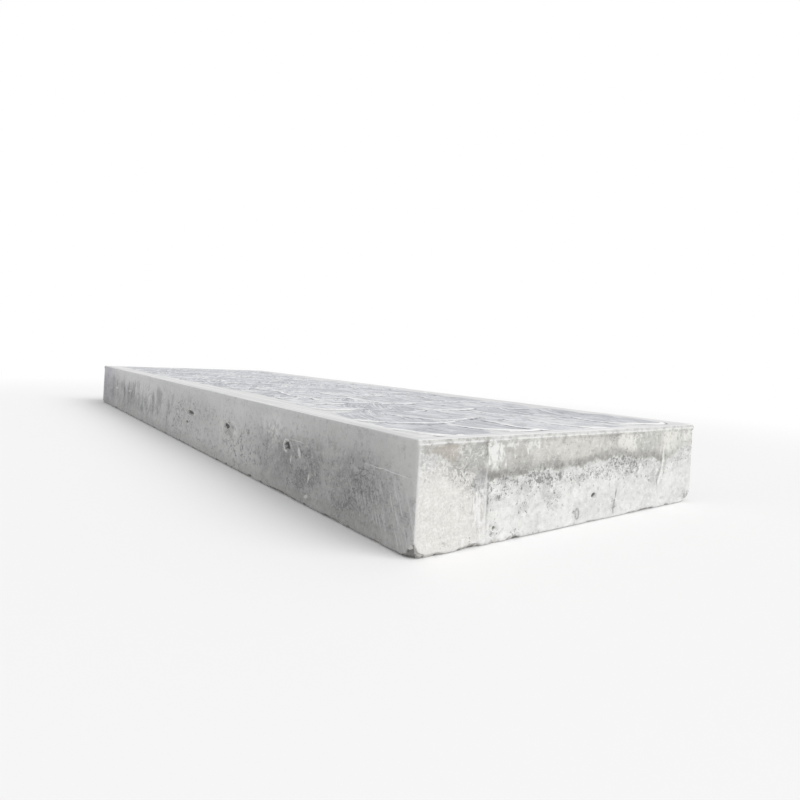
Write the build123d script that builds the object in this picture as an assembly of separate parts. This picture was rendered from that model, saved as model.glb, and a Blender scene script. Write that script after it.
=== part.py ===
"""Precast concrete walkway slab: one solid piece, cast face up in a timber form.

The slab lies flat, with its length along X, its width along Y and its underside on Z = 0.
The origin is the middle of the underside. The end at +X and the side at -Y are the two faces
that carry the marks of use: form joints, blow holes, two broken bottom corners and spalled
bottom edges.
"""
import os

from build123d import *

# Overall size over the lip, in millimetres
LENGTH = 1830.0
WIDTH = 610.0
THICKNESS = 133.0

# Lip of concrete that ran over the form's edge, with the rounding left by the edging tool
LIP_HEIGHT = 7.0
LIP_PROUD = 1.2
TOP_ARRIS = 4.0
UPRIGHT_ARRIS = 4.0
BOTTOM_WEAR = 3.0
# Largest share of a wall or corner that a rounding beside it may take
ARRIS_LIMIT = 0.8

# Trowelled field in the middle of the top, above the smooth margin round it
FIELD_RISE = 1.5
SIDE_MARGIN = 45.0
END_MARGIN = 20.0
FIELD_CORNER = 85.0
FIELD_TAPER = 72.0

# Fins cast in the joints between the boards of the end form, each with its height of foot
FIN_INSET = 108.0
FIN_WIDTH = 4.0
FIN_PROUD = 1.0
NEAR_FIN_FOOT = 8.0
FAR_FIN_FOOT = 35.0

# Broken bottom corners of the +X end: reach along X, Y and Z from the corner, and the three
# fracture faces of a break, each as its shares of that reach
NEAR_BREAK = (30.0, 24.0, 23.0)
FAR_BREAK = (40.0, 36.0, 22.0)
FRACTURE_SHARES = ((1.0, 0.6, 0.45), (0.45, 1.0, 0.6), (0.6, 0.45, 1.0))

# Spalls of the bottom edges: distance from the near corner, length along the edge, depth of scoop
END_SPALLS = ((31.0, 42.0, 3.5), (87.0, 46.0, 4.5))
SIDE_SPALLS = ((70.0, 26.0, 3.2), (172.0, 76.0, 3.6), (332.0, 150.0, 3.6))

# Blow holes in the long side: distance from the end, depth below the top, length, height, depth in
SIDE_HOLES = (
    (796.0, 59.0, 50.0, 10.0, 6.0),
    (815.0, 82.0, 22.0, 8.0, 4.0),
    (562.0, 65.0, 70.0, 33.0, 3.0),
    (575.0, 60.0, 24.0, 12.0, 7.0),
    (314.0, 57.0, 20.0, 14.0, 6.0),
)
# Blow hole in the end: distance from the side, depth below the top, length, height, depth in
END_HOLES = ((327.0, 95.0, 12.0, 9.0, 5.0),)
HOLE_TAPER = 25.0

# Sizes that follow from the driving ones
form_length = LENGTH - 2 * LIP_PROUD
form_width = WIDTH - 2 * LIP_PROUD
margin_level = THICKNESS - FIELD_RISE
lip_level = margin_level - LIP_HEIGHT
lip_corner = UPRIGHT_ARRIS + LIP_PROUD


def form_block():
    """The part of the slab that the form's boards shaped, worn along its bottom edges."""
    block = extrude(RectangleRounded(form_length, form_width, UPRIGHT_ARRIS), lip_level)
    return chamfer(block.edges().group_by(Axis.Z)[0], min(BOTTOM_WEAR, ARRIS_LIMIT * UPRIGHT_ARRIS))


def top_lip():
    """The over-poured lip, with its tooled top edge."""
    lip = Pos(Z=lip_level) * extrude(RectangleRounded(LENGTH, WIDTH, lip_corner), LIP_HEIGHT)
    arris = min(TOP_ARRIS, ARRIS_LIMIT * LIP_HEIGHT, ARRIS_LIMIT * lip_corner)
    return fillet(lip.edges().group_by(Axis.Z)[-1], arris)


def trowelled_field():
    """The raised field of the top, round at its corners and sloping down to the margin."""
    outline = RectangleRounded(LENGTH - 2 * END_MARGIN, WIDTH - 2 * SIDE_MARGIN, FIELD_CORNER)
    return Pos(Z=margin_level) * extrude(outline, FIELD_RISE, taper=FIELD_TAPER)


def joint_fin(y_place, foot):
    """A thin upright fin on the +X end, from its foot up to the lip."""
    section = Polygon((0, -FIN_WIDTH / 2), (FIN_PROUD, 0), (0, FIN_WIDTH / 2), align=None)
    return Pos(form_length / 2, y_place, foot) * extrude(section, lip_level - foot)


def break_corner(slab, y_side, reach):
    """Knock off a bottom corner of the +X end, leaving a few flat fracture faces."""
    corner = Vector(form_length / 2, y_side * form_width / 2, 0)
    for shares in FRACTURE_SHARES:
        along_x, along_y, up = (size * share for size, share in zip(reach, shares))
        outward = Vector(1 / along_x, y_side / along_y, -1 / up)
        fracture = Plane(corner - Vector(along_x, 0, 0), z_dir=outward)
        slab = split(slab, bisect_by=fracture, keep=Keep.BOTTOM)
    return slab


def edge_spall(middle, outward, length, depth):
    """A shallow scoop for a bottom edge: a ball that reaches in from outside the slab."""
    radius = (length**2 / 4 + depth**2) / (2 * depth)
    return Pos(*(middle + outward * (radius - depth))) * Sphere(radius)


def blow_hole(face, across, drop, length, height, depth):
    """A tapered pocket let into an upright face, placed from the face's near top corner."""
    mouth = face * Pos(across, -drop) * SlotOverall(length, height)
    return extrude(mouth, -depth, taper=HOLE_TAPER)


# Faces of the form, each with its origin at the near top corner, X along the face and Y up
side_face = Plane((form_length / 2, -form_width / 2, THICKNESS), x_dir=(1, 0, 0), z_dir=(0, -1, 0))
end_face = Plane((form_length / 2, -form_width / 2, THICKNESS), x_dir=(0, 1, 0), z_dir=(1, 0, 0))

walkway_slab = form_block() + top_lip() + trowelled_field()
walkway_slab += joint_fin(FIN_INSET - WIDTH / 2, NEAR_FIN_FOOT)
walkway_slab += joint_fin(WIDTH / 2 - FIN_INSET, FAR_FIN_FOOT)
for distance, drop, length, height, depth in SIDE_HOLES:
    walkway_slab -= blow_hole(side_face, -distance, drop, length, height, depth)
for distance, drop, length, height, depth in END_HOLES:
    walkway_slab -= blow_hole(end_face, distance, drop, length, height, depth)
walkway_slab = break_corner(walkway_slab, -1, NEAR_BREAK)
walkway_slab = break_corner(walkway_slab, 1, FAR_BREAK)

near_corner = Vector(form_length / 2, -form_width / 2, 0)
for distance, length, depth in END_SPALLS:
    middle = near_corner + Vector(0, distance, 0)
    walkway_slab -= edge_spall(middle, Vector(1, 0, -1).normalized(), length, depth)
for distance, length, depth in SIDE_SPALLS:
    middle = near_corner - Vector(distance, 0, 0)
    walkway_slab -= edge_spall(middle, Vector(0, -1, -1).normalized(), length, depth)

os.makedirs("parts", exist_ok=True)
export_step(walkway_slab, "parts/walkway_slab.step")
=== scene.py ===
"""Looks of a precast concrete walkway slab: its cast and trowelled skin, floor, light and camera.

All sizes are in metres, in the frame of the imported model: X along the slab, Y across it, Z up.
"""
import itertools
import math

import bpy
import numpy as np
from mathutils import Matrix, Vector


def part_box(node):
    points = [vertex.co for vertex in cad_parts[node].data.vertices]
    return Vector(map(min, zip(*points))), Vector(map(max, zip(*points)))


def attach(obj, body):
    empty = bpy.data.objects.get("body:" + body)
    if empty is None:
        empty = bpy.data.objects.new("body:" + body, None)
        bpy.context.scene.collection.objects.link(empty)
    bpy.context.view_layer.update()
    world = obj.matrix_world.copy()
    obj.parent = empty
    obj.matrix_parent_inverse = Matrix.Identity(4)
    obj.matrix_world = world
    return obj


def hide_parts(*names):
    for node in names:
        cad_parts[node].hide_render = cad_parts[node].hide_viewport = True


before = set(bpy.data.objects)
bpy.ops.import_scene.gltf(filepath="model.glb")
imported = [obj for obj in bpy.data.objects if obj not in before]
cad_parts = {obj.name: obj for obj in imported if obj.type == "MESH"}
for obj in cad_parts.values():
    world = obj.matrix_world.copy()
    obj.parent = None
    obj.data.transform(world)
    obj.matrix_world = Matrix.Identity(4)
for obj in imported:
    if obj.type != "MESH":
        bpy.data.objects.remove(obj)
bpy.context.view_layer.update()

SLAB = "walkway_slab"
slab_low, slab_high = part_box(SLAB)
LENGTH, WIDTH, THICKNESS = slab_high - slab_low

# Sizes of the cast form and of the tooled edge, as in the solid
LIP_HEIGHT = 0.007
LIP_PROUD = 0.0012
ARRIS = 0.004
FIELD_RISE = 0.0015
FIN_INSET = 0.108
FIN_WIDTH = 0.004
FIN_PROUD = 0.001
NEAR_FIN_FOOT = 0.008
FAR_FIN_FOOT = 0.035

# Broken bottom corners of the +X end, as in the solid: side, reach along X, Y and Z
BREAKS = ((-1, (0.030, 0.024, 0.023)), (1, (0.040, 0.036, 0.022)))
FRACTURE_SHARES = ((1.0, 0.6, 0.45), (0.45, 1.0, 0.6), (0.6, 0.45, 1.0))

# Spalls of the bottom edges, as in the solid: place from the near corner, length, depth of scoop
END_SPALLS = ((0.031, 0.042, 0.0035), (0.087, 0.046, 0.0045))
SIDE_SPALLS = ((0.070, 0.026, 0.0032), (0.172, 0.076, 0.0036), (0.332, 0.150, 0.0036))

# Blow holes: place along the face from the near top corner, drop, half length, half height, depth.
# The side's holes and the end's first one are in the solid too. The other three are small chips.
SIDE_HOLES = (
    (0.796, 0.059, 0.025, 0.0050, 0.006),
    (0.815, 0.082, 0.011, 0.0040, 0.004),
    (0.562, 0.065, 0.035, 0.0165, 0.003),
    (0.575, 0.060, 0.012, 0.0060, 0.007),
    (0.314, 0.057, 0.010, 0.0070, 0.006),
)
END_HOLES = (
    (0.327, 0.095, 0.006, 0.0045, 0.005),
    (0.118, 0.111, 0.003, 0.0026, 0.003),
    (0.125, 0.114, 0.004, 0.0030, 0.004),
    (0.121, 0.121, 0.004, 0.0026, 0.003),
)
# Share of a hole by which noise moves its edge, and the depth from which its rim is all pale
SIDE_RAGGEDNESS = 1.6
END_RAGGEDNESS = 0.8
PALE_RIM_DEPTH = 0.006

# Sweeps of the finishing trowel over the field, laid from the +X end in columns across the slab
SWEEP_START = (0.100, 0.108)
SWEEP_COLUMNS = 14
SWEEP_ROWS = 5
SWEEP_RADIUS = (0.064, 0.088)
SWEEP_STRETCH = 1.2
SWEEP_SQUARENESS = 2.8
SWEEP_STRAY = (-0.020, 0.020)
SWEEP_SEED = 11.0
# Lean of a sweep's outline and the way its ridge faces, in degrees, and the ridge's strength
SWEEP_LEAN = (-48.0, 10.0)
SWEEP_HEADING = (-85.0, 15.0)
SWEEP_STRENGTH = (0.35, 1.0)
# Facing and least strength for the sweeps along the +X end and the -Y side
EDGE_SWEEP_HEADING = -45.0
EDGE_SWEEP_STRENGTH = 0.9
# Edge of a sweep: where its front starts and is full, as cosines, its softness behind, as a share
# of the radius, its sharpness in front, and its broad and fine wobble
SWEEP_FRONT = (-0.10, 0.55)
SOFT_EDGE = 0.45
SHARP_EDGE = 0.004
SWEEP_WOBBLE = (0.040, 0.012)
# How hard a sweep wears earlier ridges under its soft edge, and how that eases to the front
SWEEP_WEAR = 0.0008
SWEEP_EASE = 0.0006
# Distance of the point that streaks swing about, and their shift from sweep to sweep
SWEEP_SWING = 0.22
STREAK_SHIFT = 0.37
# Ridge at the front of a sweep, and the painted shadow line just past it
RIDGE_HEIGHT = 0.0018
RIDGE_WIDTH = (0.0035, 0.0075)
RIDGE_STEEPNESS = 0.45
RIDGE_SHADOW_PAST = 0.0055
RIDGE_SHADOW_WIDTH = 0.0018

# Margin round the field: how far in from the ends and sides no gaps are left between sweeps, and
# how much wider the margin is along the sides
CLOSED_FIELD = (0.060, 0.080)
SIDE_EXTRA = 0.007
# Widening of the margin away from the +X end: start, end, amount, and middle, spread, amount
MARGIN_GROWTH = (0.08, 0.40, 0.026)
MARGIN_BULGE = (0.62, 0.22, 0.022)

# Small pits of the cast faces: how many would lie along a metre, and their radius
PIT_SPREAD = 26.0
PIT_RADIUS = 0.0032

# Uneven surface, and the coarse, fine and least chips of the bottom edges
TOP_SAG = 0.0010
MARGIN_WAVE = 0.0006
FIELD_LIFT = 0.0006
LIP_WAVER = 0.005
CAST_WAVE = 0.0022
CAST_GRAIN = 0.0009
BREAK_ROUGHNESS = 0.008
EDGE_CHIPS = (0.004, 0.0025, 0.0015)
# How far the top and the cast faces stay inside the box, and the cut that shows as a break
TOP_CLEARANCE = 0.00005
CAST_CLEARANCE = 0.0001
BREAK_SHOWN = 0.0006

# Sizes of the slab by the names of the skin's inputs
SIZES = {
    "Length": LENGTH, "Width": WIDTH, "Thickness": THICKNESS, "Arris": ARRIS,
    "Lip Height": LIP_HEIGHT, "Lip Proud": LIP_PROUD, "Field Rise": FIELD_RISE,
}

# Skin: points along each edge before it is thinned, how much they crowd towards the edges, and
# its number of triangles once thinned
GRID_POINTS = (700, 240, 60)
GRID_CROWDING = 0.5
SKIN_TRIANGLES = 192000
# Angle past which an edge of the skin is sharp, in degrees
SHARP_ANGLE = 50
# How near to a face of the box a point counts as on it, and how near a mark of that face reaches
ON_FACE = 0.0005
FACE_ZONE = 0.02


# Node helpers

class Flow:
    """A number, vector or colour on its way through a node tree. Arithmetic on it adds nodes."""

    def __init__(self, tree, socket):
        self.tree = tree
        self.socket = socket

    def __add__(self, other):
        return reckon("ADD", self, other)

    def __radd__(self, other):
        return reckon("ADD", other, self)

    def __sub__(self, other):
        return reckon("SUBTRACT", self, other)

    def __rsub__(self, other):
        return reckon("SUBTRACT", other, self)

    def __mul__(self, other):
        return reckon("MULTIPLY", self, other)

    def __rmul__(self, other):
        return reckon("MULTIPLY", other, self)

    def __truediv__(self, other):
        return reckon("DIVIDE", self, other)


def feed(tree, socket, value):
    """Join a flow to a socket, or set the socket's own value."""
    if isinstance(value, Flow):
        tree.links.new(value.socket, socket)
    elif socket.type in ("VECTOR", "RGBA") and isinstance(value, (int, float)):
        socket.default_value = (value,) * len(socket.default_value)
    else:
        socket.default_value = value


def put(tree, kind, inputs=None, output=0, **settings):
    """Add a node with its settings and inputs, and return one of its outputs."""
    node = tree.nodes.new(kind)
    for name, value in settings.items():
        setattr(node, name, value)
    for key, value in (inputs or {}).items():
        feed(tree, node.inputs[key], value)
    return Flow(tree, node.outputs[output])


def tree_of(*values):
    return next(value.tree for value in values if isinstance(value, Flow))


def is_vector(value):
    return isinstance(value, tuple) or isinstance(value, Flow) and value.socket.type == "VECTOR"


def reckon(operation, *values):
    """One step of arithmetic, on vectors where any value is a vector."""
    kind = "ShaderNodeVectorMath" if any(map(is_vector, values)) else "ShaderNodeMath"
    return put(tree_of(*values), kind, dict(enumerate(values)), operation=operation)


def size_of(vector):
    return put(vector.tree, "ShaderNodeVectorMath", {0: vector}, output="Value", operation="LENGTH")


def dot(first, second):
    inputs = {0: first, 1: second}
    tree = tree_of(first, second)
    return put(tree, "ShaderNodeVectorMath", inputs, output="Value", operation="DOT_PRODUCT")


def unit(vector):
    return put(vector.tree, "ShaderNodeVectorMath", {0: vector}, operation="NORMALIZE")


def larger(first, second):
    return reckon("MAXIMUM", first, second)


def smaller(first, second):
    return reckon("MINIMUM", first, second)


def above(value, limit):
    return reckon("GREATER_THAN", value, limit)


def within(value, low, high):
    return larger(smaller(value, high), low)


def split(vector):
    node = vector.tree.nodes.new("ShaderNodeSeparateXYZ")
    feed(vector.tree, node.inputs[0], vector)
    return [Flow(vector.tree, output) for output in node.outputs]


def join(x, y, z):
    return put(tree_of(x, y, z), "ShaderNodeCombineXYZ", {0: x, 1: y, 2: z})


def climb(value, start, end):
    """0 up to start and 1 from end on, with a smooth climb between."""
    inputs = {0: value, 1: start, 2: end}
    return put(tree_of(value, start, end), "ShaderNodeMapRange", inputs, interpolation_type="SMOOTHSTEP")


def fall(value, start, end):
    """1 up to start and 0 from end on, with a smooth fall between."""
    return 1.0 - climb(value, start, end)


def bell(value, middle, width):
    """1 at the middle, falling away on both sides as a bell does."""
    off = (value - middle) / width
    return reckon("EXPONENT", 0.0 - off * off)


def cloud(place, scale, detail=3.0, roughness=0.5):
    """Soft noise, about 0.5 on average, with that many patches to a metre."""
    inputs = {"Vector": place, "Scale": scale, "Detail": detail, "Roughness": roughness}
    return put(place.tree, "ShaderNodeTexNoise", inputs)


def cells(place, scale, output="Distance"):
    """Cells round scattered points: the distance to the nearest, in cells, or each one's colour."""
    inputs = {"Vector": place, "Scale": scale}
    return put(place.tree, "ShaderNodeTexVoronoi", inputs, output=output)


def is_colour(value):
    return value.socket.type == "RGBA" if isinstance(value, Flow) else np.size(value) == 4


def blend(share, first, second):
    """first where the share is 0, and second where it is 1."""
    tree = tree_of(share, first, second)
    if is_colour(first) or is_colour(second):
        kind, slot = "RGBA", 6
    elif is_vector(first) or is_vector(second):
        kind, slot = "VECTOR", 4
    else:
        kind, slot = "FLOAT", 2
    inputs = {0: share, slot: first, slot + 1: second}
    return put(tree, "ShaderNodeMix", inputs, output=slot // 2 - 1, data_type=kind)


def tint(red, green, blue):
    """A colour from its 0 to 255 screen values, in the linear light that nodes use."""
    def linear(value):
        share = value / 255
        return share / 12.92 if share <= 0.04045 else ((share + 0.055) / 1.055) ** 2.4
    return (linear(red), linear(green), linear(blue), 1.0)


def coat(colour, share, red, green, blue):
    """Lay a tint, from its screen values, over a colour by a share."""
    return blend(share, colour, tint(red, green, blue))


SOCKETS = {"VALUE": "NodeSocketFloat", "VECTOR": "NodeSocketVector", "RGBA": "NodeSocketColor"}


def socket_for(value):
    if isinstance(value, Flow):
        return SOCKETS[value.socket.type]
    return "NodeSocketVector" if is_vector(value) else "NodeSocketFloat"


def grouped(work, **given):
    """Do the work in a node group, made once for each kind of tree, and return what it gives."""
    tree = tree_of(*given.values())
    title = f"{work.__name__}_{tree.bl_idname}"
    group = bpy.data.node_groups.get(title)
    if group is None:
        group = bpy.data.node_groups.new(title, tree.bl_idname)
        for name, value in given.items():
            group.interface.new_socket(name, in_out="INPUT", socket_type=socket_for(value))
        start = group.nodes.new("NodeGroupInput")
        made = work(**{name: Flow(group, start.outputs[name]) for name in given})
        end = group.nodes.new("NodeGroupOutput")
        for number, value in enumerate(made):
            group.interface.new_socket(f"made_{number}", in_out="OUTPUT", socket_type=socket_for(value))
            feed(group, end.inputs[number], value)
    node = tree.nodes.new(tree.bl_idname.replace("Tree", "Group"))
    node.node_tree = group
    for name, value in given.items():
        feed(tree, node.inputs[name], value)
    return [Flow(tree, output) for output in node.outputs]


# Marks of casting and trowelling, worked out alike for the skin's shape and for its colour

def between(limits, share):
    return share * (limits[1] - limits[0]) + limits[0]


def scatter(key):
    """Three fixed random values between 0 and 1 for a key."""
    return split(put(key.tree, "ShaderNodeTexWhiteNoise", {"Vector": key}, output="Color"))


def end_spot(place, sizes=SIZES):
    """Place on the +X end: from the near side, and down from the top."""
    _, y, z = split(place)
    return join(y + sizes["Width"] * 0.5, sizes["Thickness"] - z, 0.0)


def side_spot(place, sizes=SIZES):
    """Place on the -Y side: from the near end, and down from the top."""
    x, _, z = split(place)
    return join(sizes["Length"] * 0.5 - x, sizes["Thickness"] - z, 0.0)


def oval(spot, middle, half):
    """Distance from the middle of an oval on a face, 1 at its edge."""
    return size_of((spot - (*middle, 0.0)) / (*half, 1.0))


def trowel_sweep(x, y, column, row, pitch_x, pitch_y, wobble, vigour,
                 height, ridge, groove, field, streak):
    """Lay one sweep of the trowel over what earlier sweeps left."""
    beyond = reckon("ABSOLUTE", column - (SWEEP_COLUMNS - 1) / 2)
    aside = reckon("ABSOLUTE", row - (SWEEP_ROWS - 1) / 2)
    missing = above(beyond, SWEEP_COLUMNS / 2) + above(aside, SWEEP_ROWS / 2)
    key = join(column, row, SWEEP_SEED)
    stray_x, stray_y, turn = scatter(key)
    radius, strength, width = scatter(key + (0.0, 0.0, 1.0))
    lean = scatter(key + (0.0, 0.0, 2.0))[0]
    off_x = x + column * pitch_x + between(SWEEP_STRAY, stray_x)
    off_y = y - row * pitch_y + between(SWEEP_STRAY, stray_y)
    radius = between(SWEEP_RADIUS, radius)
    by_edge = above(0.5, smaller(column, row))
    turn = between([math.radians(angle) for angle in SWEEP_HEADING], turn)
    turn = blend(by_edge, turn, math.radians(EDGE_SWEEP_HEADING))
    lean = between([math.radians(angle) for angle in SWEEP_LEAN], lean)
    cosine, sine = reckon("COSINE", lean), reckon("SINE", lean)
    along = (off_x * cosine + off_y * sine) / SWEEP_STRETCH
    across = off_y * cosine - off_x * sine
    powers = [reckon("POWER", reckon("ABSOLUTE", way), SWEEP_SQUARENESS) for way in (along, across)]
    reach = reckon("POWER", powers[0] + powers[1], 1 / SWEEP_SQUARENESS) + wobble + missing
    heading = join(reckon("COSINE", turn), reckon("SINE", turn), 0.0)
    forward = dot(unit(join(off_x, off_y, 0.0)), heading)
    front = climb(forward, *SWEEP_FRONT)
    covered = fall(reach, radius - blend(front, radius * SOFT_EDGE, SHARP_EDGE), radius)
    strength = between(SWEEP_STRENGTH, strength) * vigour
    strength = larger(strength, by_edge * EDGE_SWEEP_STRENGTH) * front
    past = reach - radius
    width = between(RIDGE_WIDTH, width) * blend(above(past, 0.0), 1.0, RIDGE_STEEPNESS)
    crest = bell(past, 0.0, width) * strength
    worn = (reach / radius) * forward * SWEEP_EASE - SWEEP_WEAR
    height = larger(blend(covered, height, worn), crest * RIDGE_HEIGHT)
    ridge = larger(ridge * (1.0 - covered), crest)
    # Painted shadow: a dark line just past each ridge, in colour only
    groove = larger(groove * (1.0 - covered), bell(past, RIDGE_SHADOW_PAST, RIDGE_SHADOW_WIDTH) * strength)
    swing = size_of(join(along, across - SWEEP_SWING, 0.0))
    round_it = reckon("ARCTAN2", along, SWEEP_SWING - across) * SWEEP_SWING
    line = join(swing, round_it, (column * SWEEP_ROWS + row) * STREAK_SHIFT)
    return height, ridge, groove, larger(field, covered), blend(above(radius, reach), streak, line)


def trowel_marks(place, sizes=SIZES):
    """What the trowel left at a place of the top: height, ridge, painted shadow past the ridge, cover and
    streak.

    Each place looks at the nine sweeps round it, in the order in which they were made. The streak
    gives the distance from the point that the last sweep there swung about, the way round that
    point, and the sweep's number.
    """
    x, y, _ = split(place)
    from_end = sizes["Length"] * 0.5 - reckon("ABSOLUTE", x)
    back = sizes["Length"] * 0.5 - x
    start, end, growth = MARGIN_GROWTH
    middle, spread, bulge = MARGIN_BULGE
    widening = climb(back, start, end) * growth + bell(back, middle, spread) * bulge
    from_side = sizes["Width"] * 0.5 - reckon("ABSOLUTE", y) - widening
    flat = join(x, y, 0.0)
    broad, fine = SWEEP_WOBBLE
    wobble = (cloud(flat, 9.0, 2.0) - 0.5) * broad + (cloud(flat, 40.0, 3.0) - 0.5) * fine
    inside = smaller(from_end - CLOSED_FIELD[0], from_side - CLOSED_FIELD[1])
    closed = climb(inside + wobble * 2.0, 0.0, 0.030)
    room = climb(smaller(from_end, from_side - SIDE_EXTRA) + wobble * 0.6, 0.004, 0.020)
    vigour = climb(cloud(flat, 13.0, 3.0), 0.22, 0.50)
    pitch_x = (sizes["Length"] - 2 * SWEEP_START[0]) / (SWEEP_COLUMNS - 1)
    pitch_y = (sizes["Width"] - 2 * SWEEP_START[1]) / (SWEEP_ROWS - 1)
    x = x - sizes["Length"] * 0.5 + SWEEP_START[0]
    y = y + sizes["Width"] * 0.5 - SWEEP_START[1]
    column = reckon("ROUND", (0.0 - x) / pitch_x)
    row = reckon("ROUND", y / pitch_y)
    height, ridge, groove, field, streak = 0.0, 0.0, 0.0, 0.0, (0.0, 0.0, 0.0)
    for step_x, step_y in itertools.product((-1, 0, 1), repeat=2):
        height, ridge, groove, field, streak = grouped(
            trowel_sweep, x=x, y=y, column=column + step_x, row=row + step_y,
            pitch_x=pitch_x, pitch_y=pitch_y, wobble=wobble, vigour=vigour,
            height=height, ridge=ridge, groove=groove, field=field, streak=streak)
    return height * room, ridge * room, groove * room, larger(field, closed) * room, streak


def blow_holes(place, sizes=SIZES):
    """Depth of the blow holes at a place, and how near the place is to a hole's rim."""
    x, y, _ = split(place)
    ragged = cloud(place, 75.0, 5.0, 0.7) - 0.5
    flaky = climb(cloud(place, 60.0, 3.0), 0.42, 0.58) * 0.9 + 0.1
    by_side = above(FACE_ZONE - sizes["Width"] * 0.5, y)
    by_end = above(x, sizes["Length"] * 0.5 - FACE_ZONE)
    faces = (
        (side_spot(place, sizes), by_side, SIDE_RAGGEDNESS, SIDE_HOLES),
        (end_spot(place, sizes), by_end, END_RAGGEDNESS, END_HOLES),
    )
    sunk, rim = 0.0, 0.0
    for spot, on_face, raggedness, holes in faces:
        for along, drop, half_length, half_height, depth in holes:
            reach = oval(spot, (along, drop), (half_length, half_height)) + ragged * raggedness
            sunk = larger(sunk, fall(reach, 0.60, 1.08) * on_face * depth)
            pale = flaky * (depth / PALE_RIM_DEPTH)
            rim = larger(rim, bell(reach, 1.25, 0.20) * on_face * pale)
    return sunk, rim


def small_pits(place):
    """Depth of the small round pits that air left in the cast faces."""
    reach = cells(place, PIT_SPREAD) / (PIT_SPREAD * PIT_RADIUS)
    return fall(reach, 0.35, 1.0) * (PIT_RADIUS * 0.7)


# Skin of the slab, as a tree of geometry nodes

def store(tree, geometry, name, value):
    """Keep a value on the points of the skin under a name."""
    inputs = {"Geometry": geometry, "Name": name, "Value": value}
    return put(tree, "GeometryNodeStoreNamedAttribute", inputs, data_type="FLOAT", domain="POINT")


def kept(tree, name):
    return put(tree, "GeometryNodeInputNamedAttribute", {"Name": name}, data_type="FLOAT")


def move(tree, geometry, where, point):
    inputs = {"Geometry": geometry, "Selection": where, "Position": point}
    return put(tree, "GeometryNodeSetPosition", inputs)


def position(tree):
    return put(tree, "GeometryNodeInputPosition")


def gridded_box(tree, given):
    """A box of fine squares, crowded towards its edges, that stands on the floor."""
    size = join(given["Length"], given["Width"], given["Thickness"])
    counts = dict(zip(("Vertices X", "Vertices Y", "Vertices Z"), GRID_POINTS))
    box = put(tree, "GeometryNodeMeshCube", {"Size": size, **counts})
    half = size * 0.5
    share = position(tree) / half
    crowded = share + reckon("SINE", share * math.pi) * (GRID_CROWDING / math.pi)
    lifted = crowded * half + join(0.0, 0.0, given["Thickness"] * 0.5)
    return move(tree, box, True, lifted)


def rounded_box(given, place):
    """The box with its edges rounded by the arris: a point of it, and the way out of it there."""
    x, y, z = split(place)
    arris = given["Arris"]
    level = given["Thickness"] - given["Field Rise"]
    inner_x = given["Length"] * 0.5 - arris
    inner_y = given["Width"] * 0.5 - arris
    height = z * (level / given["Thickness"])
    core = join(within(x, 0.0 - inner_x, inner_x), within(y, 0.0 - inner_y, inner_y),
                within(height, arris, level - arris))
    outward = unit(join(x, y, height) - core)
    return core + outward * arris, outward


def form_joints(given, place):
    """Height of the fins cast in the joints of the end form."""
    x, y, z = split(place)
    at_end = above(x, given["Length"] * 0.5 - ON_FACE)
    joint = given["Width"] * 0.5 - FIN_INSET
    wavy = (cloud(place, 30.0, 2.0) - 0.5) * FIN_WIDTH
    broken = climb(cloud(place, 60.0, 2.0), 0.35, 0.55)
    total = 0.0
    for side, foot in ((-1, NEAR_FIN_FOOT), (1, FAR_FIN_FOOT)):
        off = reckon("ABSOLUTE", y - joint * side + wavy)
        fin = larger(1.0 - off / (FIN_WIDTH / 2), 0.0) * climb(z, foot - 0.006, foot) * broken
        total = fin + total
    return total * at_end


def knock(point, corner, outward, depth):
    """Cut the point back to a rough plane, and say where that was done."""
    cut = larger(dot(point - corner, outward) + depth, 0.0)
    return point - outward * cut, climb(cut, 0.0, BREAK_SHOWN)


def scoop(point, edge, outward, length, depth, rough):
    """Push the point out of a ball that reaches into an edge, and say where that was done."""
    radius = (length**2 / 4 + depth**2) / (2 * depth)
    away = point - (edge + tuple(outward * (radius - depth)))
    cut = larger(radius - size_of(away) + rough, 0.0)
    return point + unit(away) * cut, climb(cut, 0.0, BREAK_SHOWN)


def worn_bottom(given, place):
    """Break the corners and spall the bottom edges, and say where the concrete is broken."""
    half_x = given["Length"] * 0.5 - given["Lip Proud"]
    half_y = given["Width"] * 0.5 - given["Lip Proud"]
    point = place
    rough = (cloud(place, 70.0, 4.0, 0.6) - 0.5) * BREAK_ROUGHNESS
    broken = 0.0
    for side, reach in BREAKS:
        corner = join(half_x, half_y * side, 0.0)
        for shares in FRACTURE_SHARES:
            along_x, along_y, up = (size * share for size, share in zip(reach, shares))
            outward = Vector((1 / along_x, side / along_y, -1 / up))
            depth = 1 / outward.length
            point, cut = knock(point, corner, tuple(outward.normalized()), rough + depth)
            broken = larger(cut, broken)
    spalls = [(0.0, along, (1, 0, -1), *size) for along, *size in END_SPALLS]
    spalls += [(along, 0.0, (0, -1, -1), *size) for along, *size in SIDE_SPALLS]
    for back, across, way, length, depth in spalls:
        edge = join(half_x - back, across - half_y, 0.0)
        point, cut = scoop(point, edge, Vector(way).normalized(), length, depth, rough * 0.4)
        broken = larger(cut, broken)
    coarse, fine, least = EDGE_CHIPS
    chips = climb(cloud(place, 16.0, 3.0, 0.6), 0.56, 0.74) * coarse
    chips = chips + climb(cloud(place, 75.0, 2.0), 0.45, 0.75) * fine + least
    for way_x, way_y in ((1, 0), (-1, 0), (0, 1), (0, -1)):
        edge = join(half_x * way_x, half_y * way_y, 0.0)
        outward = Vector((way_x, way_y, -1)).normalized()
        point, cut = knock(point, edge, tuple(outward), chips)
        broken = larger(cut, broken)
    return point, broken


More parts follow.
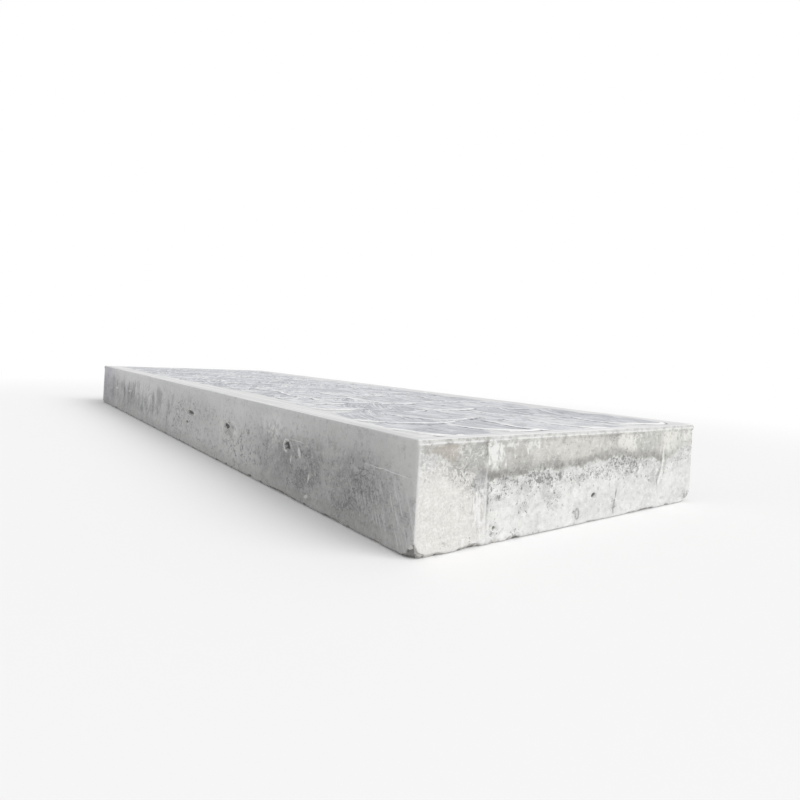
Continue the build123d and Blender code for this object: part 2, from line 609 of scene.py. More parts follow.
def slab_skin_tree(concretes):
    """The tree that makes the slab's skin, with its sizes and materials as named inputs."""
    tree = bpy.data.node_groups.new("slab_skin", "GeometryNodeTree")
    for name in SIZES:
        tree.interface.new_socket(name, in_out="INPUT", socket_type="NodeSocketFloat")
    for face in concretes:
        tree.interface.new_socket(face, in_out="INPUT", socket_type="NodeSocketMaterial")
    tree.interface.new_socket("Geometry", in_out="OUTPUT", socket_type="NodeSocketGeometry")
    start = tree.nodes.new("NodeGroupInput")
    given = {output.name: Flow(tree, output) for output in start.outputs if output.name}

    skin = gridded_box(tree, given)
    place = position(tree)
    x, y, z = split(place)
    top = above(z, given["Thickness"] - ON_FACE)
    skin = store(tree, skin, "on_top", top)
    skin = store(tree, skin, "on_end", above(x, given["Length"] * 0.5 - ON_FACE))
    skin = store(tree, skin, "on_side", above(ON_FACE - given["Width"] * 0.5, y))

    point, outward = rounded_box(given, place)
    flat = climb(reckon("ABSOLUTE", dot(outward, outward * outward * outward)), 0.9, 0.995)
    sag = (cloud(place, 4.0, 2.0) - 0.5) * TOP_SAG
    height, _, _, field, _ = trowel_marks(place, given)
    rise = height + sag + field * FIELD_LIFT
    rise = rise + (1.0 - field) * (cloud(place, 18.0, 2.0) - 0.5) * MARGIN_WAVE
    rise = smaller(rise, given["Field Rise"] - TOP_CLEARANCE)
    skin = move(tree, skin, top, point + outward * (rise * flat))

    lip_level = given["Thickness"] - given["Field Rise"] - given["Lip Height"]
    drift = (cloud(place, 12.0, 3.0) - 0.5) * LIP_WAVER
    inset = fall(z + drift, lip_level - LIP_PROUD, lip_level) * given["Lip Proud"]
    wave = (cloud(place, 7.0, 3.0) - 0.5) * CAST_WAVE
    wave = wave + (cloud(place, 55.0, 4.0, 0.6) - 0.5) * CAST_GRAIN
    sunk = larger(blow_holes(place, given)[0], small_pits(place))
    cast = smaller(wave + form_joints(given, place) * FIN_PROUD - sunk, inset - CAST_CLEARANCE)
    shrink = join(1.0 - inset / (given["Length"] * 0.5), 1.0 - inset / (given["Width"] * 0.5), 1.0)
    upright = above(z, ON_FACE) * flat
    below = 1.0 - kept(tree, "on_top")
    skin = move(tree, skin, below, (point + outward * (cast * upright)) * shrink)

    point, broken = worn_bottom(given, position(tree))
    skin = store(tree, skin, "broken", broken)
    skin = move(tree, skin, True, point)
    skin = put(tree, "GeometryNodeSetShadeSmooth", {"Geometry": skin})
    skin = put(tree, "GeometryNodeRealizeInstances", {"Geometry": skin})
    skin = put(tree, "GeometryNodeSetMaterial", {"Geometry": skin, "Material": given["Hidden"]})
    for face, name in (("Top", "on_top"), ("End", "on_end"), ("Side", "on_side")):
        inputs = {"Geometry": skin, "Selection": above(kept(tree, name), 0.75), "Material": given[face]}
        skin = put(tree, "GeometryNodeSetMaterial", inputs)
    end = tree.nodes.new("NodeGroupOutput")
    feed(tree, end.inputs["Geometry"], skin)
    return tree, {**SIZES, **concretes}


def placed(name, data):
    """A new object of the scene."""
    thing = bpy.data.objects.new(name, data)
    bpy.context.scene.collection.objects.link(thing)
    return thing


def plain_mesh(maker):
    """The object's evaluated result as a plain mesh of its own."""
    graph = bpy.context.evaluated_depsgraph_get()
    return bpy.data.meshes.new_from_object(maker.evaluated_get(graph), depsgraph=graph)


def build_slab(concretes):
    """Make the slab's skin, thin it to its number of triangles and set it on the frame."""
    slab = placed("slab_skin", bpy.data.meshes.new("slab_skin"))
    tree, values = slab_skin_tree(concretes)
    skin = slab.modifiers.new("skin", "NODES")
    skin.node_group = tree
    for item in tree.interface.items_tree:
        if item.in_out == "INPUT" and item.name in values:
            skin[item.identifier] = values[item.name]
    slab.data = made = plain_mesh(slab)
    slab.modifiers.remove(skin)
    thin = slab.modifiers.new("thin", "DECIMATE")
    thin.ratio = SKIN_TRIANGLES / (2 * len(made.polygons))
    slab.data = plain_mesh(slab)
    slab.modifiers.remove(thin)
    points = np.empty(len(slab.data.vertices) * 3, dtype=np.float32)
    slab.data.vertices.foreach_get("co", points)
    points = np.clip(points.reshape(-1, 3), np.array(slab_low), np.array(slab_high))
    slab.data.vertices.foreach_set("co", points.astype(np.float32).ravel())
    slab.data.set_sharp_from_angle(angle=math.radians(SHARP_ANGLE))
    slab.name = "slab"
    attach(slab, "root")
    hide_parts(SLAB)


# Concrete

# Foot of the stained band on the +X end: share of the width, drop below the top
STAIN_LINE = (
    (0.0, 0.012), (0.03, 0.018), (0.10, 0.034), (0.177, 0.053), (0.21, 0.056), (0.28, 0.051),
    (0.37, 0.050), (0.47, 0.052), (0.54, 0.046), (0.64, 0.044), (0.70, 0.048), (0.80, 0.052),
    (0.83, 0.058), (0.88, 0.055), (0.93, 0.042), (1.0, 0.034),
)
# Strength of the dark stain above that line
STAIN_STRENGTH = (
    (0.0, 0.10), (0.10, 0.25), (0.17, 0.50), (0.20, 0.95), (0.26, 0.95), (0.32, 0.45), (0.38, 0.75),
    (0.47, 0.95), (0.50, 0.60), (0.64, 0.65), (0.70, 0.65), (0.80, 0.8), (0.83, 0.50), (0.90, 0.25),
    (1.0, 0.15),
)
# Patches of the stained band: middle along and below the top, half sizes, colour, strength
BAND_PATCHES = (
    ((0.285, 0.022), (0.085, 0.015), (196, 194, 188), 0.8),
    ((0.042, 0.018), (0.024, 0.012), (176, 170, 162), 0.85),
    ((0.087, 0.022), (0.022, 0.016), (164, 164, 162), 0.85),
    ((0.162, 0.025), (0.027, 0.015), (176, 175, 171), 0.8),
    ((0.376, 0.012), (0.019, 0.006), (154, 153, 150), 0.8),
    ((0.458, 0.023), (0.033, 0.018), (182, 182, 178), 0.8),
    ((0.560, 0.036), (0.045, 0.024), (204, 204, 199), 0.8),
    ((0.124, 0.022), (0.016, 0.016), (218, 218, 216), 0.95),
    ((0.150, 0.012), (0.010, 0.006), (214, 214, 212), 0.8),
    ((0.192, 0.015), (0.013, 0.008), (212, 212, 209), 0.9),
    ((0.402, 0.024), (0.022, 0.015), (212, 211, 205), 0.9),
    ((0.522, 0.020), (0.010, 0.018), (212, 211, 206), 0.85),
    ((0.540, 0.018), (0.016, 0.009), (210, 209, 203), 0.8),
    ((0.590, 0.024), (0.013, 0.016), (210, 209, 205), 0.8),
)
# Clusters of dark grains on the lower part of the end: middle and half sizes
GRAIN_CLUSTERS = (
    ((0.175, 0.092), (0.014, 0.016)), ((0.238, 0.092), (0.022, 0.015)),
    ((0.287, 0.118), (0.008, 0.010)), ((0.478, 0.084), (0.020, 0.016)),
    ((0.126, 0.123), (0.012, 0.010)), ((0.160, 0.126), (0.014, 0.008)),
    ((0.588, 0.121), (0.024, 0.012)), ((0.114, 0.072), (0.008, 0.030)),
    ((0.085, 0.062), (0.022, 0.014)), ((0.378, 0.112), (0.007, 0.016)),
    ((0.365, 0.072), (0.008, 0.020)),
)
# Other marks of the end: middle and half sizes
SANDY_PATCH = ((0.045, 0.085), (0.062, 0.055))
DAMP_PATCH = ((0.100, 0.058), (0.012, 0.018))
WASHED_PATCH = ((0.096, 0.086), (0.011, 0.030))
TORN_RING = ((0.290, 0.117), (0.0038, 0.0070))
# Lines of the end that lean: place along, how much they lean with the drop, half width
FAR_FIN_LINE = (0.522, 0.19, 0.0024)
DRIP_LINE = (0.40625, 0.25, 0.0020)
# Blotches of the long side: middle from the near end and below the top, half sizes, strength
SIDE_BLOTCHES = (
    ((0.19, 0.092), (0.17, 0.042), 1.0),
    ((0.10, 0.080), (0.07, 0.045), 0.4),
    ((0.34, 0.078), (0.10, 0.032), 0.55),
    ((0.18, 0.048), (0.08, 0.024), 0.45),
    ((0.76, 0.050), (0.10, 0.030), 0.35),
    ((1.42, 0.082), (0.16, 0.032), 0.85),
    ((1.60, 0.060), (0.13, 0.045), 0.45),
    ((1.75, 0.100), (0.10, 0.050), 0.35),
)
# Pale flecks of the long side: middle, half length, half width, slope in degrees
SIDE_FLECKS = (
    ((0.274, 0.061), 0.008, 0.0042, 117.0),
    ((0.243, 0.092), 0.007, 0.0022, 80.0),
    ((0.248, 0.119), 0.006, 0.0030, 25.0),
    ((0.300, 0.074), 0.006, 0.0020, 75.0),
    ((0.053, 0.0453), 0.046, 0.0006, -0.5),
    ((0.283, 0.0455), 0.022, 0.0006, 1.0),
    ((0.542, 0.067), 0.022, 0.0050, 0.0),
    ((0.594, 0.064), 0.008, 0.0020, 95.0),
    ((1.590, 0.064), 0.020, 0.0030, 0.0),
    ((1.400, 0.060), 0.014, 0.0030, 10.0),
)
# Other marks of the long side: middle and half sizes
WORN_PATCH = ((0.372, 0.036), (0.034, 0.022))
SCRATCHED_PATCH = ((0.035, 0.090), (0.075, 0.040))

# Streaks of the tooled margin to a metre along X, Y and Z: at the ends, and along the sides
MARGIN_STREAKS = ((150.0, 3.0, 1.0), (3.0, 150.0, 1.0))

# Fine relief of each finish: shares of the place, patches to a metre, height
CAST_RELIEF = ((1.0, 1.0, 1.0), 120.0, 0.0010)
PASTE_RELIEF = ((1.0, 1.0, 1.0), 150.0, 0.0005)
TROWEL_RELIEF = ((0.35, 1.0, 1.0), 110.0, 0.0009)
SAND_HEIGHT = 0.0004


def profile(value, points, height):
    """A height read off a smooth line through points; the value runs from 0 to 1."""
    node = value.tree.nodes.new("ShaderNodeFloatCurve")
    feed(value.tree, node.inputs["Value"], value)
    curve = node.mapping.curves[0]
    for index, (along, up) in enumerate(points):
        if index >= len(curve.points):
            curve.points.new(along, up / height)
        else:
            curve.points[index].location = (along, up / height)
    for point in curve.points:
        point.handle_type = "AUTO_CLAMPED"
    node.mapping.update()
    return Flow(value.tree, node.outputs[0]) * height


def shaken(place, scale, reach, detail=4.0):
    """The place moved about by noise, so that what is drawn there has ragged edges."""
    inputs = {"Vector": place, "Scale": scale, "Detail": detail, "Roughness": 0.6}
    noise = put(place.tree, "ShaderNodeTexNoise", inputs, output="Color")
    return place + (noise - (0.5, 0.5, 0.5)) * (reach, reach, reach)


def patch(spot, middle, half, soft):
    """1 inside an oval patch of a face and 0 outside it."""
    return fall(oval(spot, middle, half), 1.0 - soft, 1.0 + soft)


def flaky_patch(spot, middle, half, crust):
    """An oval patch whose edge is broken into flakes by the noise of the crust."""
    return climb(patch(spot, middle, half, 0.95) + (crust - 0.5) * 3.6, 0.36, 0.74)


def veins(place, scale, width):
    """1 along thin curling lines, such as the edges of flakes of crust."""
    off = reckon("ABSOLUTE", cloud(place, scale, 3.0, 0.6) - 0.5)
    return fall(off, width * 0.3, width)


def grains(place, scale, share):
    """1 in small ragged grains; a larger share gives more of them."""
    limit = 0.73 - share * 0.20
    return climb(cloud(place, scale, 3.0, 0.75), limit, limit + 0.035)


def mark(tree, name):
    """A value that the skin keeps on its points."""
    return put(tree, "ShaderNodeAttribute", output="Fac", attribute_name=name)


def cast_wear(place, colour, shown):
    """Lay the broken edges, the blow holes and the small pits over the colour of a cast face, darkened
    partly as painted shade.
    """
    # Broken concrete: dark and pale stones, laid on more fully the larger shown is; partly their own
    # colour, partly painted shade of facets that face down
    stones = split(cells(place, 150.0, output="Color"))[0]
    rough = blend(stones, tint(84, 83, 82), tint(208, 206, 202))
    colour = blend(mark(place.tree, "broken") * shown, colour, rough)
    sunk, rim = blow_holes(place)
    sunk = larger(sunk, small_pits(place))
    colour = coat(colour, climb(rim, 0.2, 0.7) * 0.8, 222, 222, 220)
    # Painted shade: blow holes and small pits darken with their depth
    colour = coat(colour, climb(sunk, 0.0005, 0.0025) * 0.10, 120, 118, 115)
    return coat(colour, climb(sunk, 0.0024, 0.0044) * 0.80, 90, 88, 86)


def end_colour(place):
    """The +X end: a stained band above, pale paste below, and dark grains, most where they meet."""
    ragged = end_spot(shaken(place, 45.0, 0.020, 6.0))
    along, drop, _ = split(ragged)
    wide = place * (1.0, 0.7, 1.0)
    fine = cloud(wide, 150.0, 4.0, 0.70)
    broad = cloud(wide, 22.0, 5.0, 0.65)
    crust = cloud(wide, 58.0, 7.0, 0.80)
    strokes = cloud(place * (1.0, 1.3, 0.55), 85.0, 6.0, 0.78)
    line = profile(along / WIDTH, STAIN_LINE, 0.1)
    strength = profile(along / WIDTH, STAIN_STRENGTH, 1.0)
    depth = drop - line
    under = depth + (crust - 0.5) * 0.030
    soiled = climb(split(end_spot(place))[0], 0.030, 0.090) * 0.6 + 0.4
    clumped = climb(cloud(wide, 17.0, 3.0), 0.42, 0.60)
    fringe = bell(depth, 0.010, 0.018)

    # Pale paste
    paste = blend(climb(broad, 0.36, 0.62), tint(201, 201, 200), tint(213, 213, 211))
    sand = climb(cloud(place, 380.0, 4.0, 0.7), 0.36, 0.64)
    sandy = blend(sand, tint(200, 198, 194), tint(215, 213, 209))
    paste = blend(patch(ragged, *SANDY_PATCH, 0.5), paste, sandy)
    smudged = climb(crust, 0.52, 0.64) * soiled * larger(fringe, clumped * 0.7)
    paste = coat(paste, smudged * 0.6, 160, 160, 158)
    paste = coat(paste, fall(crust, 0.36, 0.46) * 0.7, 224, 224, 223)
    paste = coat(paste, climb(fine, 0.53, 0.63) * soiled * 0.35, 170, 170, 168)
    paste = coat(paste, fall(fine, 0.37, 0.46) * 0.4, 228, 228, 227)

    # Stained band
    mottle = climb(cloud(place, 32.0, 6.0, 0.7), 0.36, 0.64)
    band = blend(mottle, tint(166, 165, 161), tint(192, 191, 187))
    for middle, half, colour, share in BAND_PATCHES:
        band = coat(band, flaky_patch(ragged, middle, half, strokes) * share, *colour)
    band = coat(band, climb(fine, 0.53, 0.64) * 0.45, 214, 214, 211)
    band = coat(band, fall(fine, 0.35, 0.46) * 0.45, 128, 127, 124)
    wisps = veins(wide, 60.0, 0.014) * climb(broad, 0.46, 0.58)
    band = coat(band, wisps * 0.6, 224, 224, 221)
    stain = bell(under, -0.005, 0.008) * strength * climb(broad, 0.28, 0.46)
    band = coat(band, stain * (0.50 + climb(strokes, 0.40, 0.60) * 0.40), 116, 115, 112)

    # Both together, the dark line between them, and the grains
    colour = blend(climb(under, -0.002, 0.002), band, paste)
    outline = bell(under, 0.0045, 0.0026) * climb(cloud(wide, 34.0, 2.0), 0.44, 0.58)
    colour = coat(colour, outline * strength * 0.55, 118, 117, 115)
    dense = fringe * (0.40 + clumped * 0.30) + 0.19 + clumped * 0.18
    for middle, half in GRAIN_CLUSTERS:
        dense = larger(dense, patch(ragged, middle, half, 0.9) * 0.80)
    shade = climb(dense, 0.30, 0.85) * climb(crust, 0.44, 0.58) * soiled
    colour = coat(colour, shade * 0.5, 158, 158, 156)
    specks = larger(grains(place, 170.0, dense), grains(place, 290.0, dense))
    colour = coat(colour, specks * soiled * 0.72, 104, 103, 102)
    colour = end_joints(place, colour, crust, broad)
    return cast_wear(place, end_lip(place, colour, fine, broad), 0.45)


def end_joints(place, colour, crust, broad):
    """Marks at the joints of the end form, with painted shade beside their fins, and the small drip and
    ring between them.
    """
    drop = split(end_spot(place))[1]
    wavy = split(end_spot(shaken(place, 60.0, 0.006)))[0] - FIN_INSET
    streaky = cloud(shaken(place, 50.0, 0.012) * (1.0, 2.6, 0.8), 75.0, 5.0, 0.7)
    damp = patch(end_spot(shaken(place, 45.0, 0.020)), *DAMP_PATCH, 0.6)
    colour = coat(colour, damp * climb(crust, 0.40, 0.56) * 0.6, 140, 140, 141)
    washed = patch(end_spot(place), *WASHED_PATCH, 0.5)
    colour = coat(colour, washed * climb(streaky, 0.44, 0.58) * 0.6, 224, 224, 225)
    colour = coat(colour, washed * fall(streaky, 0.38, 0.50) * 0.5, 150, 150, 152)
    # Painted shade beside the near fin: a dark line in its groove lower down, and a dark flank near the
    # top
    joint_groove_shade = bell(wavy, 0.0030, 0.0020) * climb(drop, 0.040, 0.055)
    joint_groove_shade = joint_groove_shade * (1.0 - climb(drop, 0.075, 0.110) * 0.7)
    colour = coat(colour, joint_groove_shade * climb(crust, 0.36, 0.56) * 0.75, 116, 116, 120)
    joint_flank_shade = bell(wavy, -0.003, 0.0022) * fall(drop, 0.022, 0.034)
    colour = coat(colour, joint_flank_shade * 0.55, 112, 112, 112)
    ridge = bell(wavy, -0.0005, 0.0014) * climb(drop, 0.030, 0.050) * climb(broad, 0.38, 0.54)
    colour = coat(colour, ridge * climb(crust, 0.40, 0.54) * 0.4, 222, 222, 221)

    # Pale line of the far fin with painted shade on both sides, and the drip and ring between the joints
    shaky = split(end_spot(shaken(place, 30.0, 0.020)))[0]
    middle, lean, width = FAR_FIN_LINE
    far_fin = shaky - middle + drop * lean
    shown = climb(drop, 0.022, 0.038) * fall(drop, 0.090, 0.100)
    # Painted shade: dark flanks on both sides of the far fin's pale line
    dark = larger(bell(far_fin, -0.006, 0.0030), bell(far_fin, 0.007, 0.0030) * 0.6)
    dark = dark * shown * climb(drop, 0.035, 0.060) * climb(crust, 0.36, 0.52)
    colour = coat(colour, dark * 0.6, 116, 115, 114)
    pale = bell(far_fin, 0.0, width) * shown * climb(crust, 0.36, 0.50)
    colour = coat(colour, pale * 0.75, 224, 223, 220)
    middle, lean, width = DRIP_LINE
    drip = bell(shaky - middle + drop * lean, 0.0, width)
    drip = drip * climb(drop, 0.088, 0.096) * fall(drop, 0.122, 0.130)
    colour = coat(colour, drip * climb(crust, 0.38, 0.50) * 0.75, 100, 98, 97)
    ring = oval(end_spot(shaken(place, 90.0, 0.006)), *TORN_RING)
    torn = bell(ring, 1.0, 0.28) * climb(crust, 0.40, 0.52)
    return coat(colour, torn * 0.65, 108, 107, 106)


def end_lip(place, colour, fine, broad):
    """The over-poured lip along the top of the end, and the pale upright corner."""
    along, drop, _ = split(end_spot(place))
    lip = fall(drop + (fine - 0.5) * 0.004, LIP_HEIGHT, LIP_HEIGHT + 0.002)
    tone = blend(climb(fine, 0.40, 0.58), tint(162, 161, 158), tint(196, 196, 194))
    tone = coat(tone, climb(along, 0.104, 0.116) * climb(broad, 0.42, 0.56) * 0.5, 208, 208, 207)
    colour = blend(lip * 0.9, colour, tone)
    edge = bell(drop, LIP_HEIGHT + (broad - 0.5) * 0.003, 0.0011)
    colour = coat(colour, edge * climb(fine, 0.36, 0.50) * 0.7, 226, 226, 225)
    corner = fall(along, 0.004, 0.006)
    return coat(colour, corner * 0.6, 212, 212, 210)


def side_colour(place):
    """The -Y side: smooth grey with dark damp blotches and a few pale flecks."""
    along, drop, _ = split(side_spot(place))
    ragged = side_spot(shaken(place, 18.0, 0.060, 7.0))
    fine = cloud(place, 150.0, 4.0, 0.72)
    mottle = climb(cloud(place, 34.0, 8.0, 0.72), 0.34, 0.64)
    broad = climb(cloud(place, 7.0, 4.0), 0.35, 0.65)
    damp = climb(cloud(place, 15.0, 6.0, 0.6), 0.38, 0.60)
    busy = climb(drop, 0.018, 0.050) * 0.7 + 0.3

    # Smooth grey, paler above and towards the far end
    colour = blend(broad, tint(188, 188, 188), tint(202, 202, 201))
    strip = fall(drop, 0.022, 0.060) * climb(along, 0.10, 0.50)
    colour = coat(colour, strip * 0.55, 218, 218, 219)
    colour = coat(colour, climb(along, 0.35, 0.80) * 0.35, 212, 212, 212)
    colour = coat(colour, fall(drop, 0.045, 0.080) * climb(along, 0.95, 1.30) * 0.55, 224, 224, 225)

    # Upright veins of the far half
    bent = shaken(shaken(place, 6.0, 0.10, 2.0), 40.0, 0.022, 4.0)
    upright = cloud(bent * (36.0, 1.0, 17.0), 1.0, 5.0, 0.65)
    veined = climb(along, 0.60, 1.25) * climb(drop, 0.014, 0.040)
    veined = veined * (1.0 - climb(drop, 0.085, 0.115) * 0.7)
    colour = coat(colour, climb(upright, 0.48, 0.62) * veined * 0.65, 128, 128, 135)
    colour = coat(colour, fall(upright, 0.32, 0.44) * veined * 0.5, 222, 222, 224)
    colour = coat(colour, climb(split(ragged)[0], 1.58, 1.74) * 0.45, 170, 169, 180)

    # Damp blotches, with their grit and speckle
    blotted = 0.0
    for middle, half, share in SIDE_BLOTCHES:
        dark = patch(ragged, middle, half, 0.8) * (0.30 + damp * 0.45 + mottle * 0.25) * share
        colour = coat(colour, dark * 0.62, 112, 113, 112)
        blotted = larger(dark, blotted)
    smudged = cloud(place * (1.0, 1.0, 1.4), 75.0, 7.0, 0.85)
    colour = coat(colour, climb(smudged, 0.54, 0.66) * busy * 0.38, 122, 123, 124)
    colour = coat(colour, fall(smudged, 0.34, 0.45) * busy * 0.22, 212, 212, 211)
    colour = coat(colour, climb(fine, 0.54, 0.64) * busy * 0.34, 212, 212, 211)
    colour = coat(colour, fall(fine, 0.36, 0.46) * busy * 0.48, 126, 126, 126)
    grit = cloud(place, 330.0, 4.0, 0.75)
    colour = coat(colour, climb(grit, 0.52, 0.62) * blotted * 0.45, 190, 190, 189)
    colour = coat(colour, fall(grit, 0.38, 0.48) * blotted * 0.50, 80, 81, 82)
    curls = veins(place, 40.0, 0.020) * climb(cloud(place, 13.0, 3.0), 0.46, 0.58)
    colour = coat(colour, curls * busy * climb(along, 0.05, 0.10) * 0.62, 104, 104, 107)
    # Darker towards the bottom edge
    colour = coat(colour, climb(drop, 0.104, 0.124) * 0.35, 172, 171, 169)

    # Worn patch, flecks and scratches
    worn = patch(ragged, *WORN_PATCH, 0.8)
    colour = coat(colour, worn * climb(fine, 0.42, 0.58) * 0.75, 222, 222, 220)
    shaky = side_spot(shaken(place, 120.0, 0.004, 3.0))
    for middle, length, width, slope in SIDE_FLECKS:
        turn = math.radians(slope)
        off = shaky - (*middle, 0.0)
        down = dot(off, (math.cos(turn), math.sin(turn), 0.0)) / length
        across = dot(off, (-math.sin(turn), math.cos(turn), 0.0)) / width
        fleck = fall(size_of(join(down, across, 0.0)), 0.6, 1.3)
        colour = coat(colour, fleck * 0.75, 220, 220, 219)
    slant = cloud(join(drop * 30.0 - along * 10.0, (along + drop * 0.45) * 420.0, 0.0), 1.0, 2.0)
    scratched = patch(ragged, *SCRATCHED_PATCH, 0.7)
    colour = coat(colour, climb(slant, 0.53, 0.66) * scratched * 0.75, 210, 210, 211)
    colour = coat(colour, grains(place, 300.0, 0.25) * busy * 0.35, 112, 112, 112)
    # Broken facets of the side laid on fully: partly painted shade of facets that face down
    return cast_wear(place, colour, 0.9)


def plain_colour(place):
    """The faces that are not seen in the photograph: plain cast concrete."""
    fine = cloud(place, 120.0, 5.0, 0.7)
    mottle = climb(cloud(place, 30.0, 7.0, 0.7), 0.38, 0.62)
    colour = blend(climb(cloud(place, 6.0, 4.0), 0.35, 0.65), tint(178, 178, 177), tint(198, 198, 196))
    colour = coat(colour, mottle * 0.30, 158, 158, 157)
    colour = coat(colour, climb(fine, 0.54, 0.68) * 0.35, 212, 212, 210)
    colour = coat(colour, grains(place, 260.0, 0.25) * 0.5, 120, 120, 119)
    return cast_wear(place, colour, 0.9)


def top_colour(place):
    """The top: a smooth pale margin round a field of trowel sweeps with pale ridges, with painted light
    and shade.
    """
    _, ridge, groove, field, streak = trowel_marks(place)
    x, y, _ = split(place)
    mottle = cloud(place, 30.0, 7.0, 0.75)
    curved = streak + (cloud(place, 20.0, 3.0) - 0.5) * (0.012, 0.0, 0.0)
    lines = cloud(curved * (210.0, 9.0, 17.0), 1.0, 4.0, 0.65)
    number = split(streak)[2]
    # Tone from sweep to sweep: partly at random, partly painted light and shade of sweeps that tilt a
    # little
    tone = cloud(join(number * 7.3, 0.5, 0.0), 1.0, 0.0) * 0.6 + cloud(place, 6.0, 5.0) * 0.4
    colour = blend(climb(tone, 0.38, 0.62), tint(193, 194, 199), tint(214, 215, 218))
    colour = coat(colour, climb(mottle, 0.47, 0.60) * 0.6, 172, 173, 178)
    colour = coat(colour, fall(mottle, 0.36, 0.46) * 0.6, 232, 232, 232)
    colour = coat(colour, climb(lines, 0.53, 0.64) * 0.7, 234, 234, 234)
    colour = coat(colour, fall(lines, 0.34, 0.46) * 0.65, 154, 156, 162)
    # Painted shade: short dark dashes along the streaks, for the shade in small gouges
    gouge_shade = grains(streak * (1.0, 0.14, 1.0), 150.0, 0.55)
    colour = coat(colour, gouge_shade * 0.75, 108, 109, 116)
    # Painted shade: small dark spots for the shade in small pits of the field
    pit_shade = fall(cells(place, 20.0), 0.05, 0.12)
    colour = coat(colour, pit_shade * 0.7, 104, 105, 111)

    # Margin, and the pale ridges and painted shadow lines that run out into it
    from_end = LENGTH / 2 - reckon("ABSOLUTE", x)
    from_side = WIDTH / 2 - reckon("ABSOLUTE", y)
    by_side = climb(from_end - from_side + (mottle - 0.5) * 0.2, -0.030, 0.030)
    across, along = (cloud(place * stretch, 1.0, 3.0) for stretch in MARGIN_STREAKS)
    drawn = blend(by_side, across, along)
    margin = blend(climb(drawn, 0.35, 0.65), tint(208, 208, 209), tint(228, 228, 227))
    margin = coat(margin, climb(mottle, 0.54, 0.70) * 0.4, 198, 198, 199)
    colour = blend(climb(field, 0.2, 0.8), margin, colour)
    # Painted shadow: the dark line past each ridge
    colour = coat(colour, climb(groove, 0.20, 0.60) * climb(mottle, 0.40, 0.54) * 0.85, 112, 113, 120)
    # Pale ridges: partly their own pale paste, partly a painted highlight where they catch the light
    shown = climb(ridge, 0.30, 0.70) * (climb(mottle, 0.36, 0.52) * 0.4 + 0.55)
    return coat(colour, shown, 243, 243, 242)


def concrete(title, colour_of, relief):
    """A material of concrete, with the colour and the fine relief of one kind of face."""
    material = bpy.data.materials.new(title)
    material.use_nodes = True
    tree = material.node_tree
    shader = tree.nodes["Principled BSDF"]
    place = put(tree, "ShaderNodeTexCoord", output="Object")
    feed(tree, shader.inputs["Base Color"], colour_of(place))
    stretch, scale, height = relief
    bumps = (cloud(place, 700.0, 2.0) - 0.5) * SAND_HEIGHT
    bumps = bumps + (cloud(place * stretch, scale, 5.0, 0.7) - 0.5) * height
    bump = put(tree, "ShaderNodeBump", {"Height": bumps, "Distance": 1.0, "Strength": 1.0})
    feed(tree, shader.inputs["Normal"], bump)
    feed(tree, shader.inputs["Roughness"], 0.82 + cloud(place, 40.0, 3.0) * 0.2)
    shader.inputs["Specular IOR Level"].default_value = 0.3
    return material


# Floor, light and camera

# Camera: place, and yaw, pitch and roll in degrees; then its picture in pixels
CAMERA_PLACE = (1.38322, -0.68921, 0.21766)
CAMERA_TURN = (-52.9905, 0.1203, 3.1032)
PICTURE_SIZE = 800
FOCAL_PIXELS = 565.58
HORIZON_ROW = 356.87
SENSOR_WIDTH = 36.0

# Floor: half its width, and where it starts and ends to fade into the background
FLOOR_REACH = 40.0
FLOOR_FADE = (1.1, 2.6)
# Strength of the background as light; to the camera it is white
SKY_LIGHT = 0.62
# Key light: strength, spread, way round from +X and height, the last three in degrees
KEY_STRENGTH = 2.2
KEY_SPREAD = 50
KEY_TURN = 22
KEY_HEIGHT = 40


def set_camera():
    """A camera where the photograph was taken from."""
    yaw, pitch, roll = map(math.radians, CAMERA_TURN)
    forward = Vector((math.sin(yaw) * math.cos(pitch), math.cos(yaw) * math.cos(pitch), math.sin(pitch)))
    right = Vector((math.cos(yaw), -math.sin(yaw), 0.0))
    up = right.cross(forward)
    rolled_right = right * math.cos(roll) + up * math.sin(roll)
    rolled_up = up * math.cos(roll) - right * math.sin(roll)
    lens = bpy.data.cameras.new("camera")
    lens.sensor_width = SENSOR_WIDTH
    lens.lens = FOCAL_PIXELS / PICTURE_SIZE * SENSOR_WIDTH
    lens.shift_y = (HORIZON_ROW - PICTURE_SIZE / 2) / PICTURE_SIZE
    lens.clip_start = 0.01
    camera = placed("camera", lens)
    turned = Matrix((rolled_right, rolled_up, -forward)).transposed().to_4x4()
    camera.matrix_world = Matrix.Translation(CAMERA_PLACE) @ turned
    bpy.context.scene.camera = camera


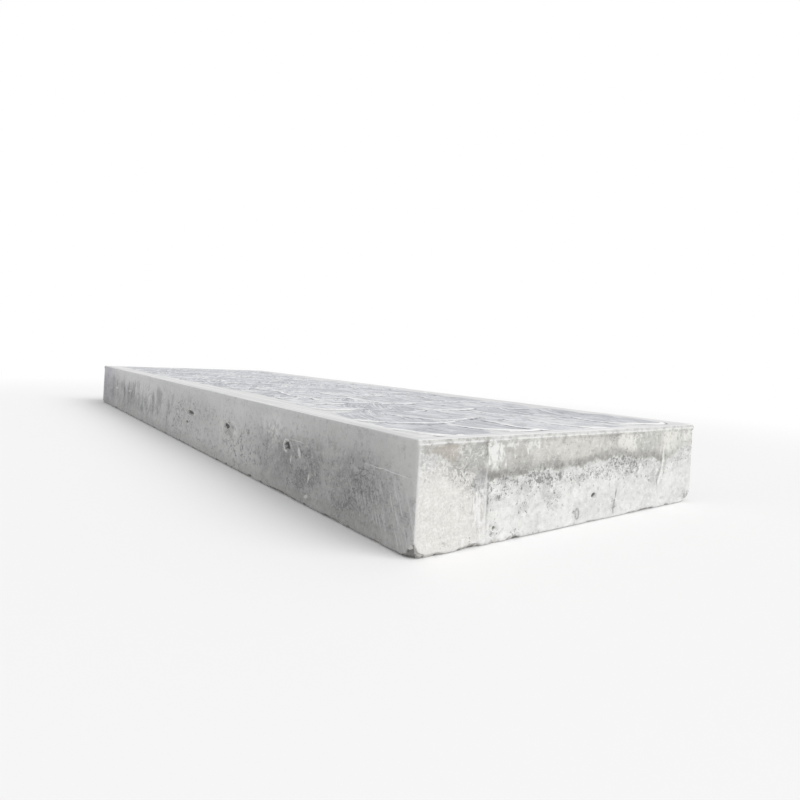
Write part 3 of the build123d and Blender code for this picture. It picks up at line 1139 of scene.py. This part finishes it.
def pale_floor():
    """A wide pale floor that fades into the white background."""
    mesh = bpy.data.meshes.new("floor")
    corners = [(x * FLOOR_REACH, y * FLOOR_REACH, 0) for x, y in ((-1, -1), (1, -1), (1, 1), (-1, 1))]
    mesh.from_pydata(corners, [], [(0, 1, 2, 3)])
    floor = placed("floor", mesh)
    material = bpy.data.materials.new("pale_floor")
    material.use_nodes = True
    tree = material.node_tree
    shader = tree.nodes["Principled BSDF"]
    shader.inputs["Base Color"].default_value = (0.86, 0.86, 0.86, 1.0)
    shader.inputs["Roughness"].default_value = 0.9
    shader.inputs["Specular IOR Level"].default_value = 0.0
    glow = put(tree, "ShaderNodeEmission", {"Color": (1.0, 1.0, 1.0, 1.0), "Strength": 1.0})
    far = climb(size_of(put(tree, "ShaderNodeTexCoord", output="Object")), *FLOOR_FADE)
    mixed = put(tree, "ShaderNodeMixShader", {0: far, 1: Flow(tree, shader.outputs[0]), 2: glow})
    feed(tree, tree.nodes["Material Output"].inputs["Surface"], mixed)
    mesh.materials.append(material)


def white_world():
    """White all round for the camera, and a softer light for the slab."""
    scene = bpy.context.scene
    scene.view_settings.view_transform = "Standard"
    world = bpy.data.worlds.new("studio")
    scene.world = world
    world.use_nodes = True
    tree = world.node_tree
    seen = put(tree, "ShaderNodeLightPath", output="Is Camera Ray")
    background = tree.nodes["Background"]
    background.inputs["Color"].default_value = (1.0, 1.0, 1.0, 1.0)
    feed(tree, background.inputs["Strength"], blend(seen, SKY_LIGHT, 1.0))


def key_light():
    """One wide soft light from above and beyond the +X end."""
    light = bpy.data.lights.new("key", "SUN")
    light.energy = KEY_STRENGTH
    light.angle = math.radians(KEY_SPREAD)
    lamp = placed("key", light)
    turn, height = math.radians(KEY_TURN), math.radians(KEY_HEIGHT)
    way = Vector((math.cos(turn) * math.cos(height), math.sin(turn) * math.cos(height), math.sin(height)))
    lamp.rotation_mode = "QUATERNION"
    lamp.rotation_quaternion = way.to_track_quat("Z", "Y")


set_camera()
pale_floor()
white_world()
key_light()
build_slab({
    "Hidden": concrete("cast_concrete", plain_colour, CAST_RELIEF),
    "Top": concrete("trowelled_concrete", top_colour, TROWEL_RELIEF),
    "End": concrete("stained_concrete", end_colour, PASTE_RELIEF),
    "Side": concrete("damp_concrete", side_colour, CAST_RELIEF),
})
